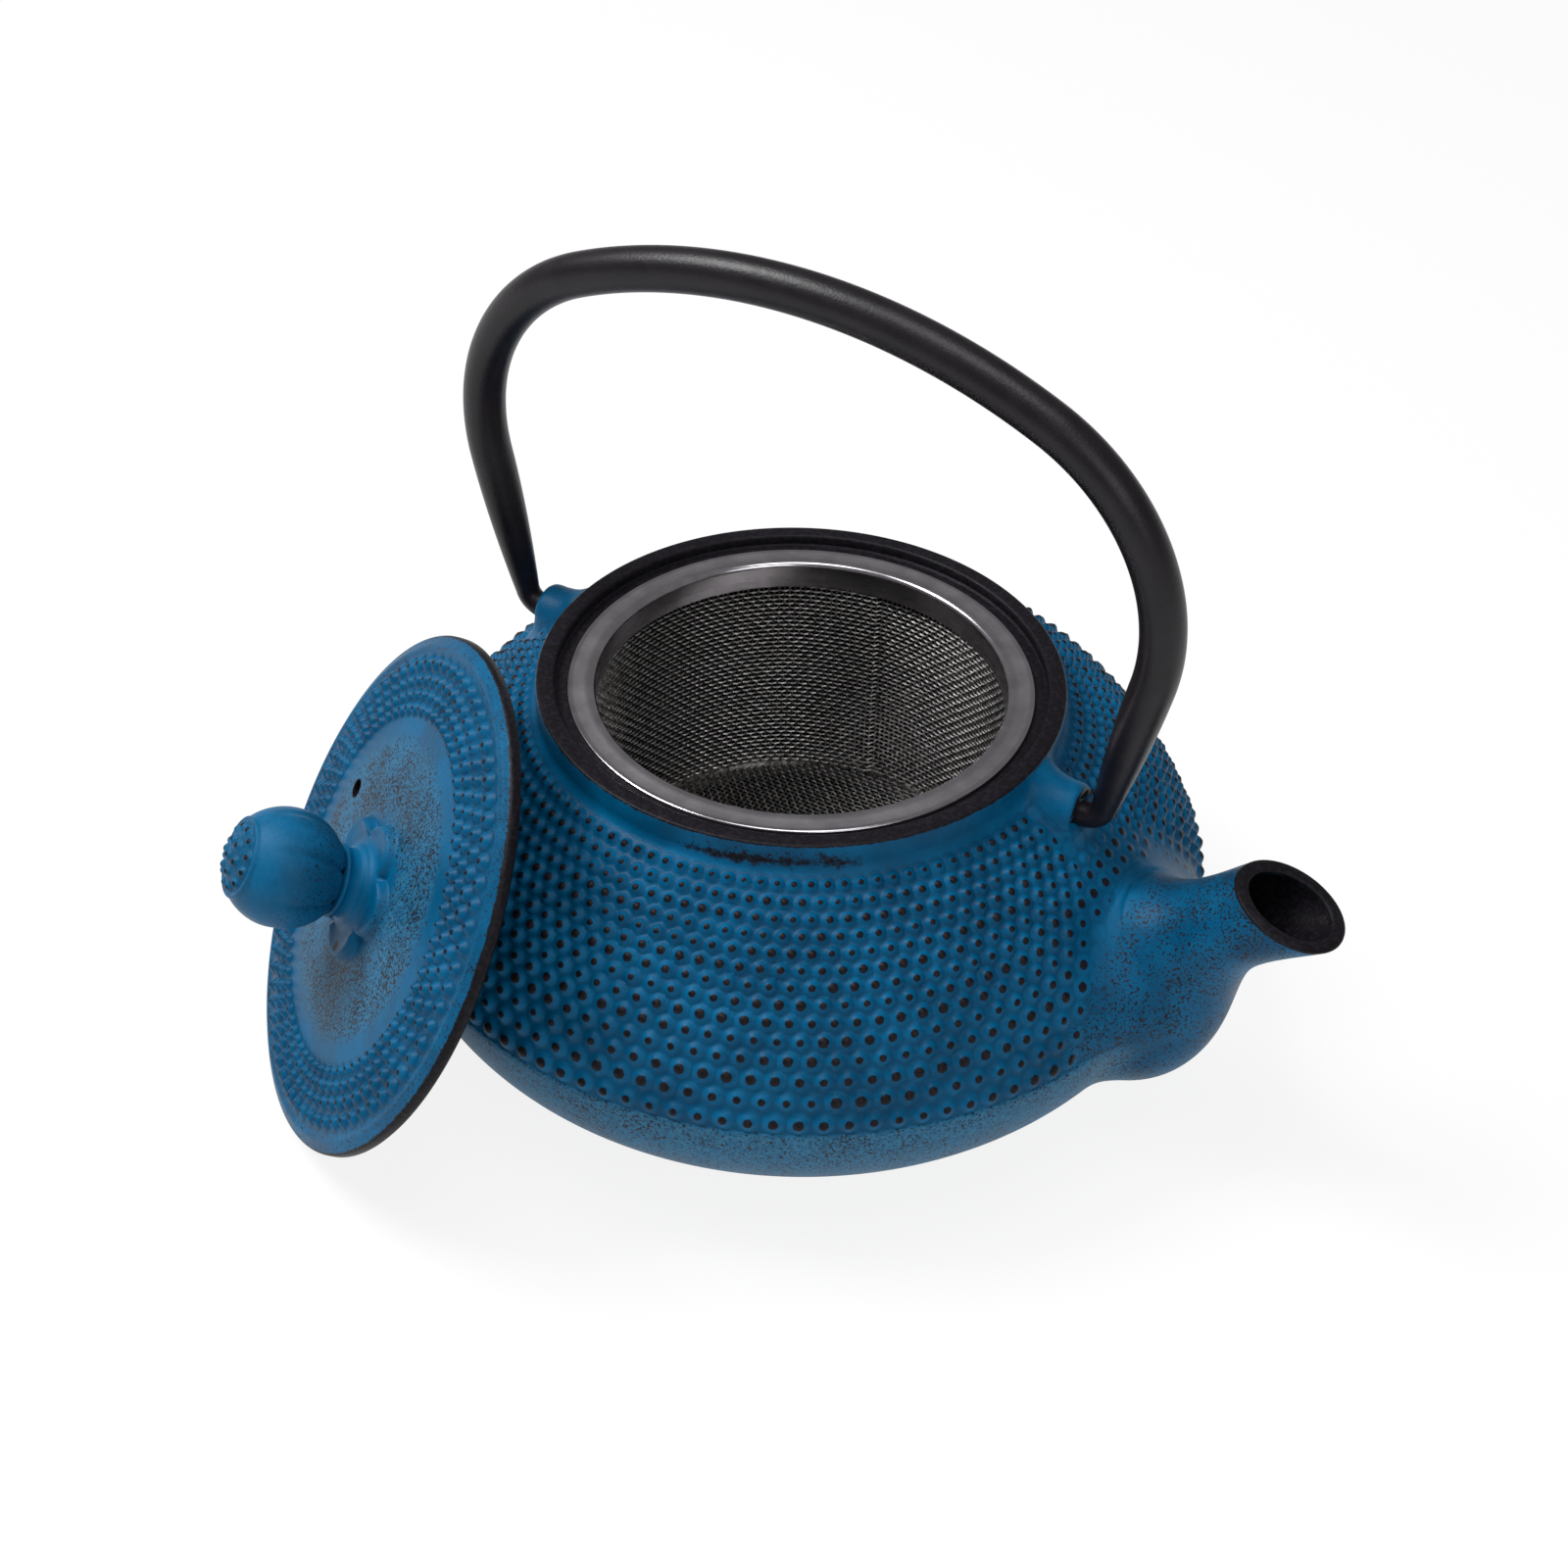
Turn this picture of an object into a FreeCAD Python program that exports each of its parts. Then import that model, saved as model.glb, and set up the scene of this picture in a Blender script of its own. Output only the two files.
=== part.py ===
import FreeCAD, Part
import math
import os

# Cast iron teapot with a swinging bail handle, a lift-out steel infuser and a
# lid that leans against the pot. Millimetres and degrees, +Z up, +X along the
# spout, origin at the centre of the flat base.

# Pot casting, outside; the shoulder is one arc whose centre lies below the rim
belly_radius = 67.7
belly_height = 26.5
belly_round = 23.0
belly_turn = 66.0
foot_height = 1.4
shoulder_round = 57.1
shoulder_centre_radius = 14.0
shoulder_centre_drop = 54.1
hobnail_height = 1.0
rim_radius = 42.1
rim_height = 60.4
rim_round = 0.6
neck_fillet = 2.0

# Pot casting, inside
pot_wall = 3.2
floor_thickness = 4.4
recess_radius = 39.2
mouth_bore_radius = 35.6

# Spout stations: reach beyond the belly radius, height above the belly line,
# tilt of the section from upright, half width, half depth
spout_root = (-12.7, -4.0, 8.0, 15.0, 16.0)
spout_bulge = (-3.0, -1.8, 37.4, 14.7, 13.4)
spout_waist = (1.6, 6.9, 48.3, 10.3, 11.5)
spout_throat = (7.9, 17.6, 53.4, 8.6, 7.5)
spout_mouth = (16.5, 25.0, 70.7, 7.8, 9.1)
spout_wall = 2.2

# Lugs and bail handle; the pivot lies below the rim
pivot_drop = 6.3
lug_radius = 4.4
lug_face_radius = 49.6
lug_skirt = 6.0
lug_hole_depth = 5.4
bail_pin_radius = 2.0
bail_pin_length = 5.0
bail_clearance = 0.06
bail_radius = 3.4
bail_rise = 74.4
bail_half_width = 59.2
bail_crown_round = 94.7
bail_corner_round = 34.3
bail_hook_round = 3.3
bail_hook_gap = 0.6
bail_lean = 2.1

# Infuser
sheet = 0.6
flange_radius = 37.3
flange_drop = 1.3
flange_edge_round = 0.4
infuser_mouth_radius = 32.7
infuser_lip_round = 0.9
collar_depth = 4.0
mesh_thickness = 0.5
mesh_lap = 2.7
infuser_depth = 44.8
base_ring_height = 3.5
base_ring_width = 3.8
seam_gap = 0.05

# Lid, drawn flat about its own axis with the top of its edge at height 0
lid_radius = 41.4
lid_edge = 2.0
lid_crown = 3.0
lid_underside = 1.0
spigot_radius = 32.6
spigot_wall = 3.0
spigot_depth = 4.8
hub_radius = 8.0
hub_depth = 3.0
stem_foot_radius = 12.5
stem_foot_rise = 0.9
stem_radius = 5.8
stem_flare = 3.4
stem_height = 8.3
vent_radius = 1.5
vent_place_radius = 20.4
vent_place_angle = 168.0

# Knob and its rivet
knob_radius = 9.4
knob_seat_radius = 5.4
rivet_radius = 2.0
rivet_head_radius = 4.2
rivet_head = 2.6
rivet_reach = 7.0
rivet_tip_gap = 0.3

# How the lid leans: tilt of its axis from upright, compass angle, sideways shift
# from the pot's axis, gap between the rivet head and the hobnails
lid_lean = 60.1
lid_azimuth = 227.9
lid_shift = 7.0
lid_rest_gap = 0.45


def at(radius, height):
    return FreeCAD.Vector(radius, 0, height)


def around(centre, radius, angle):
    turn = math.radians(angle)
    return centre + FreeCAD.Vector(radius * math.cos(turn), 0, radius * math.sin(turn))


def line(start, end):
    return Part.LineSegment(start, end).toShape()


def arc(centre, radius, start_angle, end_angle):
    middle = around(centre, radius, (start_angle + end_angle) / 2)
    start = around(centre, radius, start_angle)
    end = around(centre, radius, end_angle)
    return Part.Arc(start, middle, end).toShape()


def angle_at(centre, point):
    return math.degrees(math.atan2(point.z - centre.z, point.x - centre.x))


def revolve(edges):
    face = Part.Face(Part.Wire(edges))
    return face.revolve(FreeCAD.Vector(0, 0, 0), FreeCAD.Vector(0, 0, 1), 360)


def revolve_outline(points):
    corners = points + points[:1]
    return revolve([line(a, b) for a, b in zip(corners, corners[1:])])


# Heights and centres that several pieces share
pivot_height = rim_height - pivot_drop
shoulder_centre = at(shoulder_centre_radius, rim_height - shoulder_centre_drop)
belly_centre = at(belly_radius - belly_round, belly_height)
skirt_slope = math.tan(math.radians(90 - belly_turn))


def shoulder_radius_at(height, radius):
    rise = height - shoulder_centre.z
    return shoulder_centre.x + math.sqrt(radius ** 2 - rise ** 2)


def shoulder_height_at(place, radius):
    run = place - shoulder_centre.x
    return shoulder_centre.z + math.sqrt(radius ** 2 - run ** 2)


def skirt_end(start, height):
    return at(start.x - (start.z - height) / skirt_slope, height)


def pot_outside():
    skirt_top = around(belly_centre, belly_round, -belly_turn)
    foot_top = skirt_end(skirt_top, foot_height)
    foot_low = at(foot_top.x, 0)
    parting_in = at(shoulder_radius_at(belly_height, shoulder_round), belly_height)
    parting_out = at(belly_radius, belly_height)
    fillet_place = rim_radius + neck_fillet
    fillet_centre = at(fillet_place, shoulder_height_at(fillet_place, shoulder_round + neck_fillet))
    fillet_angle = angle_at(shoulder_centre, fillet_centre)
    neck_low = around(fillet_centre, neck_fillet, 180)
    round_centre = at(rim_radius - rim_round, rim_height - rim_round)
    rim_side = around(round_centre, rim_round, 0)
    rim_top = around(round_centre, rim_round, 90)
    edges = [
        line(at(0, 0), foot_low),
        line(foot_low, foot_top),
        line(foot_top, skirt_top),
        arc(belly_centre, belly_round, -belly_turn, 0),
        line(parting_out, parting_in),
        arc(shoulder_centre, shoulder_round, angle_at(shoulder_centre, parting_in), fillet_angle),
        arc(fillet_centre, neck_fillet, 180 + fillet_angle, 180),
        line(neck_low, rim_side),
        arc(round_centre, rim_round, 0, 90),
        line(rim_top, at(0, rim_height)),
        line(at(0, rim_height), at(0, 0)),
    ]
    return revolve(edges)


def pot_cavity():
    inner_belly = belly_round - pot_wall
    inner_shoulder = shoulder_round - pot_wall
    skirt_top = around(belly_centre, inner_belly, -belly_turn)
    floor_edge = skirt_end(skirt_top, floor_thickness)
    belly_in = at(belly_radius - pot_wall, belly_height)
    shoulder_in = at(shoulder_radius_at(belly_height, inner_shoulder), belly_height)
    throat = at(mouth_bore_radius, shoulder_height_at(mouth_bore_radius, inner_shoulder))
    ledge = rim_height - flange_drop - sheet
    edges = [
        line(at(0, floor_thickness), floor_edge),
        line(floor_edge, skirt_top),
        arc(belly_centre, inner_belly, -belly_turn, 0),
        line(belly_in, shoulder_in),
        arc(shoulder_centre, inner_shoulder, angle_at(shoulder_centre, shoulder_in),
            angle_at(shoulder_centre, throat)),
        line(throat, at(mouth_bore_radius, ledge)),
        line(at(mouth_bore_radius, ledge), at(recess_radius, ledge)),
        line(at(recess_radius, ledge), at(recess_radius, rim_height)),
        line(at(recess_radius, rim_height), at(0, rim_height)),
        line(at(0, rim_height), at(0, floor_thickness)),
    ]
    return revolve(edges)


def spout_section(station, inset):
    reach, rise, tilt, half_width, half_depth = station
    turn = math.radians(tilt)
    across = FreeCAD.Vector(0, 1, 0) * (half_width - inset)
    up = FreeCAD.Vector(-math.sin(turn), 0, math.cos(turn)) * (half_depth - inset)
    normal = FreeCAD.Vector(math.cos(turn), 0, math.sin(turn))
    place = at(belly_radius + reach, belly_height + rise)
    matrix = FreeCAD.Matrix(
        across.x, up.x, normal.x, place.x,
        across.y, up.y, normal.y, place.y,
        across.z, up.z, normal.z, place.z,
        0, 0, 0, 1)
    return Part.Wire([Part.makeCircle(1).transformGeometry(matrix)])


def spout(inset):
    stations = (spout_root, spout_bulge, spout_waist, spout_throat, spout_mouth)
    return Part.makeLoft([spout_section(station, inset) for station in stations], True)


def lug():
    root = rim_radius - rim_round
    length = lug_face_radius - root
    ear = Part.makeCylinder(lug_radius, length, at(root, pivot_height), FreeCAD.Vector(1, 0, 0))
    corner = FreeCAD.Vector(root, -lug_radius, pivot_height - lug_skirt)
    skirt = Part.makeBox(length, 2 * lug_radius, lug_skirt, corner)
    return ear.fuse(skirt).removeSplitter()


def lug_hole():
    start = at(lug_face_radius - lug_hole_depth, pivot_height)
    radius = bail_pin_radius + bail_clearance
    return Part.makeCylinder(radius, lug_hole_depth, start, FreeCAD.Vector(1, 0, 0))


def opposite(shape):
    return shape.rotated(FreeCAD.Vector(0, 0, 0), FreeCAD.Vector(0, 0, 1), 180)


def pot_body():
    front_lug = lug()
    solid = pot_outside().fuse([spout(0), front_lug, opposite(front_lug)])
    front_hole = lug_hole()
    return solid.cut([pot_cavity(), spout(spout_wall), front_hole, opposite(front_hole)])


def tube_arc(centre, radius, start_angle, end_angle, tube_radius):
    path = arc(centre, radius, start_angle, end_angle)
    start = around(centre, radius, start_angle)
    turn = math.radians(start_angle)
    heading = FreeCAD.Vector(-math.sin(turn), 0, math.cos(turn))
    ring = Part.Wire([Part.makeCircle(tube_radius, start, heading)])
    return Part.Wire([path]).makePipeShell([ring], True, False)


def bail_handle():
    pivot = at(0, pivot_height)
    crown_centre = pivot + at(0, bail_rise - bail_crown_round)
    corner_run = bail_half_width - bail_corner_round
    corner_rise = math.sqrt((bail_crown_round - bail_corner_round) ** 2 - corner_run ** 2)
    corner_centre = crown_centre + at(corner_run, corner_rise)
    crown_angle = angle_at(crown_centre, corner_centre)
    hook_start = lug_face_radius + bail_hook_gap
    hook_centre = pivot + at(hook_start, bail_hook_round)

    # The leg is the line that touches both the corner arc and the hook arc from outside
    span = hook_centre - corner_centre
    leg_angle = angle_at(corner_centre, hook_centre)
    leg_angle += math.degrees(math.acos((bail_corner_round - bail_hook_round) / span.Length))
    leg_top = around(corner_centre, bail_corner_round, leg_angle)
    leg_low = around(hook_centre, bail_hook_round, leg_angle)
    leg = leg_low - leg_top

    pin_start = at(hook_start - bail_hook_gap - bail_pin_length, pivot_height)
    pin_length = bail_pin_length + bail_hook_gap
    crown = tube_arc(crown_centre, bail_crown_round, crown_angle, 180 - crown_angle, bail_radius)
    half = [
        tube_arc(corner_centre, bail_corner_round, leg_angle, crown_angle, bail_radius),
        Part.makeCone(bail_radius, bail_pin_radius, leg.Length, leg_top, leg),
        tube_arc(hook_centre, bail_hook_round, -90, leg_angle, bail_pin_radius),
        Part.makeCylinder(bail_pin_radius, pin_length, pin_start, FreeCAD.Vector(1, 0, 0)),
    ]
    upright = crown.fuse(half + [opposite(piece) for piece in half]).removeSplitter()
    return upright.rotated(pivot, FreeCAD.Vector(1, 0, 0), bail_lean)


flange_top = rim_height - flange_drop
collar_outside = infuser_mouth_radius + sheet
mesh_inside = collar_outside + seam_gap
mesh_outside = mesh_inside + mesh_thickness
infuser_low = flange_top - infuser_depth
mesh_low = infuser_low + sheet


def infuser_rim():
    underside = flange_top - sheet
    collar_low = underside - collar_depth
    lip_centre = at(infuser_mouth_radius + infuser_lip_round, flange_top - infuser_lip_round)
    edge_centre = at(flange_radius - flange_edge_round, flange_top - flange_edge_round)
    edges = [
        line(at(flange_radius, underside), around(edge_centre, flange_edge_round, 0)),
        arc(edge_centre, flange_edge_round, 0, 90),
        line(around(edge_centre, flange_edge_round, 90), around(lip_centre, infuser_lip_round, 90)),
        arc(lip_centre, infuser_lip_round, 90, 180),
        line(around(lip_centre, infuser_lip_round, 180), at(infuser_mouth_radius, collar_low)),
        line(at(infuser_mouth_radius, collar_low), at(collar_outside, collar_low)),
        line(at(collar_outside, collar_low), at(collar_outside, underside)),
        line(at(collar_outside, underside), at(flange_radius, underside)),
    ]
    return revolve(edges)


def infuser_mesh_wall():
    low = mesh_low + mesh_thickness
    high = flange_top - sheet - collar_depth + mesh_lap
    return revolve_outline([
        at(mesh_inside, low), at(mesh_outside, low), at(mesh_outside, high), at(mesh_inside, high)])


def infuser_mesh_floor():
    return Part.makeCylinder(mesh_outside, mesh_thickness, at(0, mesh_low))


def infuser_base_ring():
    inside = mesh_outside + seam_gap
    outside = inside + sheet
    high = infuser_low + base_ring_height
    return revolve_outline([
        at(outside - base_ring_width, infuser_low), at(outside, infuser_low), at(outside, high),
        at(inside, high), at(inside, mesh_low), at(outside - base_ring_width, mesh_low)])


def lid_place():
    turn = math.radians(lid_lean)
    compass = math.radians(lid_azimuth)
    outward = FreeCAD.Vector(math.cos(compass), math.sin(compass), 0)
    up = FreeCAD.Vector(0, 0, 1)
    axis = outward * math.sin(turn) + up * math.cos(turn)
    slope = up * math.sin(turn) - outward * math.cos(turn)
    sideways = slope.cross(axis)
    height = lid_radius * math.sin(turn) + lid_edge * math.cos(turn)
    bulge = shoulder_centre.x * math.sin(turn) + shoulder_centre.z * math.cos(turn)
    bulge += shoulder_round + hobnail_height
    stand_off = hub_depth + rivet_head + lid_rest_gap
    reach = (bulge + stand_off - height * math.cos(turn)) / math.sin(turn)
    centre = outward * reach + sideways * lid_shift + up * height
    return FreeCAD.Matrix(
        sideways.x, slope.x, axis.x, centre.x,
        sideways.y, slope.y, axis.y, centre.y,
        sideways.z, slope.z, axis.z, centre.z,
        0, 0, 0, 1)


def leaning(shape):
    placed = shape.copy()
    placed.transformShape(lid_place())
    return placed


def lid_plate():
    crown_round = (lid_radius ** 2 + lid_crown ** 2) / (2 * lid_crown)
    crown_centre = at(0, lid_crown - crown_round)
    foot_level = math.sqrt(crown_round ** 2 - stem_foot_radius ** 2) + crown_centre.z
    foot = at(stem_foot_radius, foot_level)
    flare_low = at(stem_radius + stem_flare, foot_level + stem_foot_rise)
    flare_centre = flare_low + at(0, stem_flare)
    rivet_hole = rivet_radius + seam_gap
    spigot_inside = spigot_radius - spigot_wall
    edges = [
        line(at(rivet_hole, -hub_depth), at(hub_radius, -hub_depth)),
        line(at(hub_radius, -hub_depth), at(hub_radius, -lid_underside)),
        line(at(hub_radius, -lid_underside), at(spigot_inside, -lid_underside)),
        line(at(spigot_inside, -lid_underside), at(spigot_inside, -spigot_depth)),
        line(at(spigot_inside, -spigot_depth), at(spigot_radius, -spigot_depth)),
        line(at(spigot_radius, -spigot_depth), at(spigot_radius, -lid_edge)),
        line(at(spigot_radius, -lid_edge), at(lid_radius, -lid_edge)),
        line(at(lid_radius, -lid_edge), at(lid_radius, 0)),
        arc(crown_centre, crown_round, angle_at(crown_centre, at(lid_radius, 0)),
            angle_at(crown_centre, foot)),
        line(foot, flare_low),
        arc(flare_centre, stem_flare, 270, 180),
        line(around(flare_centre, stem_flare, 180), at(stem_radius, stem_height)),
        line(at(stem_radius, stem_height), at(rivet_hole, stem_height)),
        line(at(rivet_hole, stem_height), at(rivet_hole, -hub_depth)),
    ]
    vent_turn = math.radians(vent_place_angle)
    vent_low = FreeCAD.Vector(
        vent_place_radius * math.cos(vent_turn), vent_place_radius * math.sin(vent_turn), -spigot_depth)
    vent = Part.makeCylinder(vent_radius, spigot_depth + stem_height, vent_low)
    return leaning(revolve(edges).cut(vent))


def lid_knob():
    seat_drop = math.sqrt(knob_radius ** 2 - knob_seat_radius ** 2)
    centre = at(0, stem_height + seat_drop)
    bore = rivet_radius + seam_gap
    bore_top = stem_height + rivet_reach + rivet_tip_gap
    edges = [
        line(at(bore, stem_height), at(knob_seat_radius, stem_height)),
        arc(centre, knob_radius, -math.degrees(math.atan2(seat_drop, knob_seat_radius)), 90),
        line(around(centre, knob_radius, 90), at(0, bore_top)),
        line(at(0, bore_top), at(bore, bore_top)),
        line(at(bore, bore_top), at(bore, stem_height)),
    ]
    return leaning(revolve(edges))


def knob_rivet():
    head_low = -hub_depth - rivet_head
    tip = stem_height + rivet_reach
    return leaning(revolve_outline([
        at(0, head_low), at(rivet_head_radius, head_low), at(rivet_head_radius, -hub_depth),
        at(rivet_radius, -hub_depth), at(rivet_radius, tip), at(0, tip)]))


os.makedirs("parts", exist_ok=True)
pieces = (pot_body, bail_handle, infuser_rim, infuser_mesh_wall, infuser_mesh_floor,
          infuser_base_ring, lid_plate, lid_knob, knob_rivet)
for piece in pieces:
    shape = piece()
    shape.exportStep("parts/" + piece.__name__ + ".step")
    print(piece.__name__, shape.isValid(), len(shape.Solids), round(shape.Volume), "cubic millimetres")
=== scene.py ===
import bpy
import numpy as np
from math import acos, asin, atan2, cos, degrees, exp, pi, radians, sin, sqrt, tan
from mathutils import Matrix, Vector
from mathutils.bvhtree import BVHTree


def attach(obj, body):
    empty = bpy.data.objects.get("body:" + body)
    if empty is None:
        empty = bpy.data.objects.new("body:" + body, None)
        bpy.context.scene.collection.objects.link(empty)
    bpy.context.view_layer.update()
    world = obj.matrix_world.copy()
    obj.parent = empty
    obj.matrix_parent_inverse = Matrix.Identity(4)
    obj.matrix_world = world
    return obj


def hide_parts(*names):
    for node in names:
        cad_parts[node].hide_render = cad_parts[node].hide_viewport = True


# Looks of the cast iron teapot. Shapes are worked out in millimetres and degrees,
# in the part's frame, and become metres when a mesh is made.

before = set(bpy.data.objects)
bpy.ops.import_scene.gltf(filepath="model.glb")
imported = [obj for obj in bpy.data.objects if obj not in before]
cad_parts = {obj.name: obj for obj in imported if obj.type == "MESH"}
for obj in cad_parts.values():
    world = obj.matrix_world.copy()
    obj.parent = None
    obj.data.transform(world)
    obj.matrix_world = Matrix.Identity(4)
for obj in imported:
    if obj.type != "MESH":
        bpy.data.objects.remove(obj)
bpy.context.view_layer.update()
MM = 0.001
TURN = 2 * pi

# Pot casting
belly_radius = 67.7
belly_height = 26.5
belly_round = 23.0
belly_turn = 66.0
belly_rings = 26
belly_coarse_rings = 10
foot_height = 1.4
foot_edge = 0.3
shoulder_radius = 14.0
shoulder_height = 6.3
shoulder_round = 57.1
rim_radius = 42.1
rim_height = 60.4
rim_round = 0.5
rim_ring_insets = (1.4, 6.0)
neck_fillet = 2.0
recess_radius = 39.2
recess_edge = 0.3
ledge_height = 58.5
ledge_edge = 0.2
mouth_radius = 35.6
pot_wall = 3.2
floor_thickness = 4.4
cavity_columns = 228
cavity_over = 0.05

# Parting line at the belly: inset from the belly's radius, drop from its height
parting_line = ((0.0, 0.3), (0.12, 0.05))

# Hobnails of the pot: rows up the shoulder arc, by angle from level
nails_around = 114
nail_rows = 14
nail_turn = -55.75
nail_first_angle = 22.48
nail_angle_steps = (3.57, -0.1295, 0.00498)
nail_height = 1.0
nail_height_vary = 0.1
nail_width = 0.47
columns_per_nail = 8
rows_per_nail = 7
far_from_nail = 9.0

# Plain metal about the spout and the lugs: where the hobnails fade in
plain_spout_half = 23.0
plain_spout_slope = 0.8
plain_spout_low = 28.5
plain_spout_fade = (-0.6, 1.4)
plain_spout_top = (42.2, 43.6)
plain_lug_side = (5.0, 6.6)
plain_lug_low = (48.0, 49.6)

# Spout stations: place along X, height, rise of the axis from level, half width, half depth
spout_stations = (
    (55.0, 22.5, 8.0, 15.0, 16.0),
    (64.7, 24.7, 37.4, 14.7, 13.4),
    (69.3, 33.4, 48.3, 10.3, 11.5),
    (75.6, 44.1, 53.4, 8.6, 7.5),
    (84.2, 51.5, 70.7, 7.8, 9.1),
)
spout_columns = 120
spout_rings = 80
spout_wall = 2.2
lip_round = 0.45

# Ends of the spout and of its bore: step past the last station, change of half width
spout_ends = ((lip_round * 0.5, -lip_round * 0.13), (lip_round, -lip_round))
bore_ends = ((lip_round * 0.6, 0.1), (lip_round + 0.02, 0.4), (3, 0.6))

# Lugs: half width and drop of the outline, and steps back from the face with their shrink
pivot_height = 54.1
lug_radius = 4.4
lug_face = 49.6
lug_face_outline = (3.7, 5.0)
lug_root = 36.5
lug_root_outline = (8.0, 9.0)
lug_flare = 1.4
lug_reaches = (lug_root, 39, 41, 43, 45, 47)
lug_edge = ((1.3, 0), (0.6, 0.1), (0.2, 0.35), (0, 0.8))
lug_foot = ((-1.0, 0.4), (-0.96, 0.75), (0.0, 1.0), (0.96, 0.75), (1.0, 0.4))
lug_hole_radius = 2.06
lug_hole_depth = 5.4
lug_hole_columns = 32

# Blends at the seams: widths below and above the heights where they widen, and boxes
seam_widens = (21.0, 31.0)
spout_seam_widths = (3.0, 12.0)
spout_seam_box = ((40, -32, 3), (84, 32, 52))
lug_seam_widths = (3.5, 3.5)
lug_seam_top = rim_height - 0.7
lug_seam_boxes = (
    ((40, -14, 44), (58, 14, lug_seam_top)),
    ((-58, -14, 44), (-40, 14, lug_seam_top)),
)
seam_near_skin = 0.2
seam_relax_rounds = 14

# Wear: values above about 0 are bare iron, and values are kept within the limit
bare_limit = 3.0
bare_wall = 0.9
scrape_turn = -65.0
scrape_half_turn = 13.0
scrape_height = 57.2

# Handle
handle_rise = 74.4
handle_half_width = 59.2
crown_round = 94.7
corner_round = 34.3
hook_round = 3.3
hook_gap = 0.6
pin_length = 5.0
pin_radius = 2.0
handle_radius = 3.4
handle_lean = 2.1
handle_columns = 40

# Lid, leaning on the pot
lid_lean = 60.1
lid_azimuth = 227.9
lid_centre = (-42.012, -56.937, 36.887)
lid_radius = 41.4
lid_edge = 2.0
lid_crown = 3.0
lid_under = -1.0
lid_corner = 0.4
lid_rim_low = -0.9
lid_rim_round = 0.8
lid_hub_radius = 8.0
lid_hub_low = -3.0
lid_ring_inner = 29.6
lid_ring_outer = 32.6
lid_ring_low = -4.8
lid_nail_rows = (28.9, 31.2, 33.7, 36.5)
lid_nails_around = 72
lid_nail_height = 1.0
lid_nail_width = 0.46
bead_radius = 39.4
bead_height = 0.4
bead_width = 0.75
petal_turn = 84.0
petal_tip = 12.2
petal_notch = 8.2
petal_height = 1.3
stem_height = 8.3
vent_radius = 1.5
vent_place = 20.4
vent_angle = 168.0
vent_flare = ((-3.0, 0.0), (2.55, 0.0), (3.4, 0.5))
vent_columns = 32
pit_radius = 0.8
pit_place = 9.9
pit_angle = -60.0

# Rings of the lid's top, from outside in: start, end, step
lid_nail_rings = (lid_radius - 0.9, 27.2, -0.3)
lid_plain_rings = (26.6, 12.8, -0.7)
lid_petal_rings = (12.4, 8.5, -0.22)

# Stem from its foot up: radius, height
stem_profile = (
    (7.9, 3.98), (7.3, 4.12), (6.8, 4.35), (6.45, 4.65), (6.3, 4.85),
    (6.25, 5.1), (6.05, 5.3), (5.7, 5.42), (5.5, 5.7), (5.45, 6.6),
    (5.5, 7.3), (5.7, 7.5), (5.9, 7.65), (5.9, 8.0), (5.7, 8.2),
)

# Knob: bump rings are angle from the top, count and bump radius
knob_radius = 9.4
knob_seat_radius = 5.4
knob_seat_gap = 0.15
knob_seat_angle = 143.5
knob_bump_rings = ((16.0, 6, 6.6), (31.0, 12, 6.4))
knob_middle_bump = 6.4
knob_bump_height = 0.6
knob_grooves = 7
knob_groove_depth = 0.6
knob_columns = 240
rivet_hole = 2.05
bore_top = 15.6

# Infuser
flange_radius = 37.3
flange_top = 59.1
flange_edge = 0.45
flange_dip = 0.12
sheet = 0.6
infuser_mouth = 32.7
infuser_lip = 0.9
infuser_columns = 288
collar_low = 54.5
wall_radius = 33.6
wall_low = 15.7
wall_high = 57.0
wall_uprights = 234
wall_courses = 46
wire_radius = 0.17
weave = 0.13
seam_turn = 97.0
lap_width = 30.0
lap_depth = 0.55
floor_level = 15.2
floor_pitch = 0.9
floor_radius = 33.4

# Colours as displayed, from 0 to 255
wash_colours = ((0, 74, 111), (0, 90, 132))
# Painted shade: the wash colour in the valleys between hobnails
painted_valley_shade_colour = (0, 52, 82)
# Pale colour: worn wash, and on the undersides a painted reflection of the floor
pale_colour = (58, 116, 148)
fleck_colours = ((26, 26, 32), (42, 34, 34))
iron_colours = ((17, 15, 19), (31, 28, 35))
coat_colours = ((19, 15, 20), (26, 21, 27))
steel_colours = ((176, 172, 178), (196, 192, 198))
wire_colours = ((112, 110, 109), (196, 194, 192))

# Stage: lights are name, place in metres, width in metres and power in watts
floor_half_size = 20000
floor_white = 0.86
world_strength = 0.2
light_target = (0, 0, 0.03)
lights = (
    ("key", (-0.55, -0.15, 0.85), 0.45, 8.8),
    ("top", (0.06, -0.12, 0.9), 0.5, 2.6),
    ("fill", (0.7, -0.5, 0.6), 0.6, 2.0),
)
camera_place = (0.15395, -0.27123, 0.29301)
camera_heading = 120.0
camera_dip = 39.32
camera_roll = 1.70
camera_lens = 56.25


def srgb(red, green, blue):
    """Linear colour of a display colour given from 0 to 255."""
    values = []
    for value in (red, green, blue):
        share = value / 255
        values.append(share / 12.92 if share <= 0.04045 else ((share + 0.055) / 1.055) ** 2.4)
    return (*values, 1.0)


def smooth_step(low, high, value):
    share = np.clip((value - low) / (high - low), 0, 1)
    return share * share * (3 - 2 * share)


# Meshes


def mesh_piece(name, places, faces):
    """A mesh object in metres from places in millimetres."""
    mesh = bpy.data.meshes.new(name)
    mesh.from_pydata((np.asarray(places) * MM).tolist(), [], faces)
    mesh.update()
    piece = bpy.data.objects.new(name, mesh)
    bpy.context.scene.collection.objects.link(piece)
    return piece


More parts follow.
